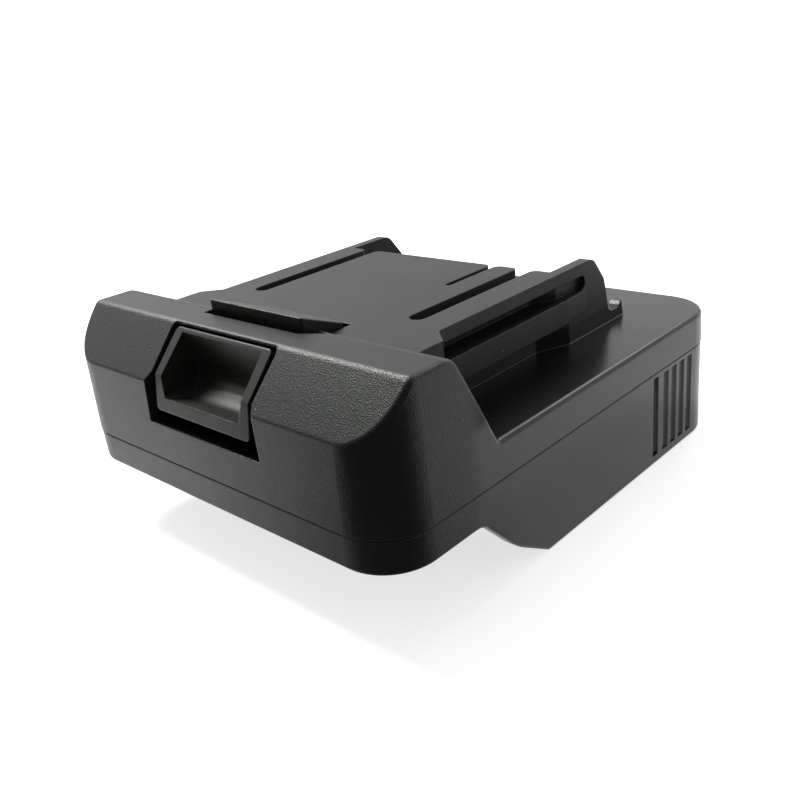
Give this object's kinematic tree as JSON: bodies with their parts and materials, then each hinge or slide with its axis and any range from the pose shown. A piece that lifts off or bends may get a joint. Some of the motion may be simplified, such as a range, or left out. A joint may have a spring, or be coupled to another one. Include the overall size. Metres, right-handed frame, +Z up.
{
  "type": "tool battery adapter",
  "caption": "Slide-on adapter that joins a battery to a cordless tool: rail platform with terminal slots on top, sprung release latch in the front block, rail channel with blades underneath.",
  "frame": {"origin": "centre of the case's footprint, on the plane that its skirts stand on", "axes": "+Z up out of the rail platform, -Y out of the release button's face, +Y towards the deck's rear edge, +X to the side of the signal slot"},
  "size_m": [0.075, 0.0906, 0.0401],
  "materials": {
    "case_plastic": "fine spark-eroded satin",
    "latch_plastic": "fine spark-eroded satin",
    "carrier_plastic": "plain moulded",
    "terminal_plastic": "plain moulded",
    "spring_steel": "bright drawn wire",
    "contact_brass": "tinned brass",
    "board_laminate": "green solder resist",
    "component_epoxy": "moulded epoxy",
    "capacitor_can": "bright can",
    "resistor_ceramic": "glazed ceramic",
    "red_insulation": "silicone",
    "black_insulation": "silicone",
    "white_insulation": "silicone",
    "screw_steel": "zinc plated"
  },
  "bodies": {
    "case": {"upper_shell": "case_plastic", "lower_shell": "case_plastic", "latch_spring_left": "spring_steel", "latch_spring_right": "spring_steel", "circuit_board": "board_laminate", "contact_carrier": "carrier_plastic", "tool_contact_positive": "contact_brass", "tool_contact_negative": "contact_brass", "tool_contact_signal": "contact_brass", "power_transistors": "component_epoxy", "controller_chip": "component_epoxy", "capacitor": "capacitor_can", "chip_resistors": "resistor_ceramic", "blade_block": "terminal_plastic", "battery_blade_positive": "contact_brass", "battery_blade_negative": "contact_brass", "battery_blade_signal": "contact_brass", "positive_lead": "red_insulation", "negative_lead": "black_insulation", "signal_lead": "white_insulation", "case_screws": "screw_steel", "board_screws": "screw_steel", "blade_block_screws": "screw_steel"},
    "latch": {"release_latch": "latch_plastic"}
  },
  "joints": [
    {"name": "latch_press", "type": "slide", "parent": "case", "child": "latch", "axis": [0, 0, -1], "range_m": [0, 0.00195], "stiffness_N_per_m": 800, "springref_m": -0.004, "deforming": ["latch_spring_left", "latch_spring_right"]}
  ]
}
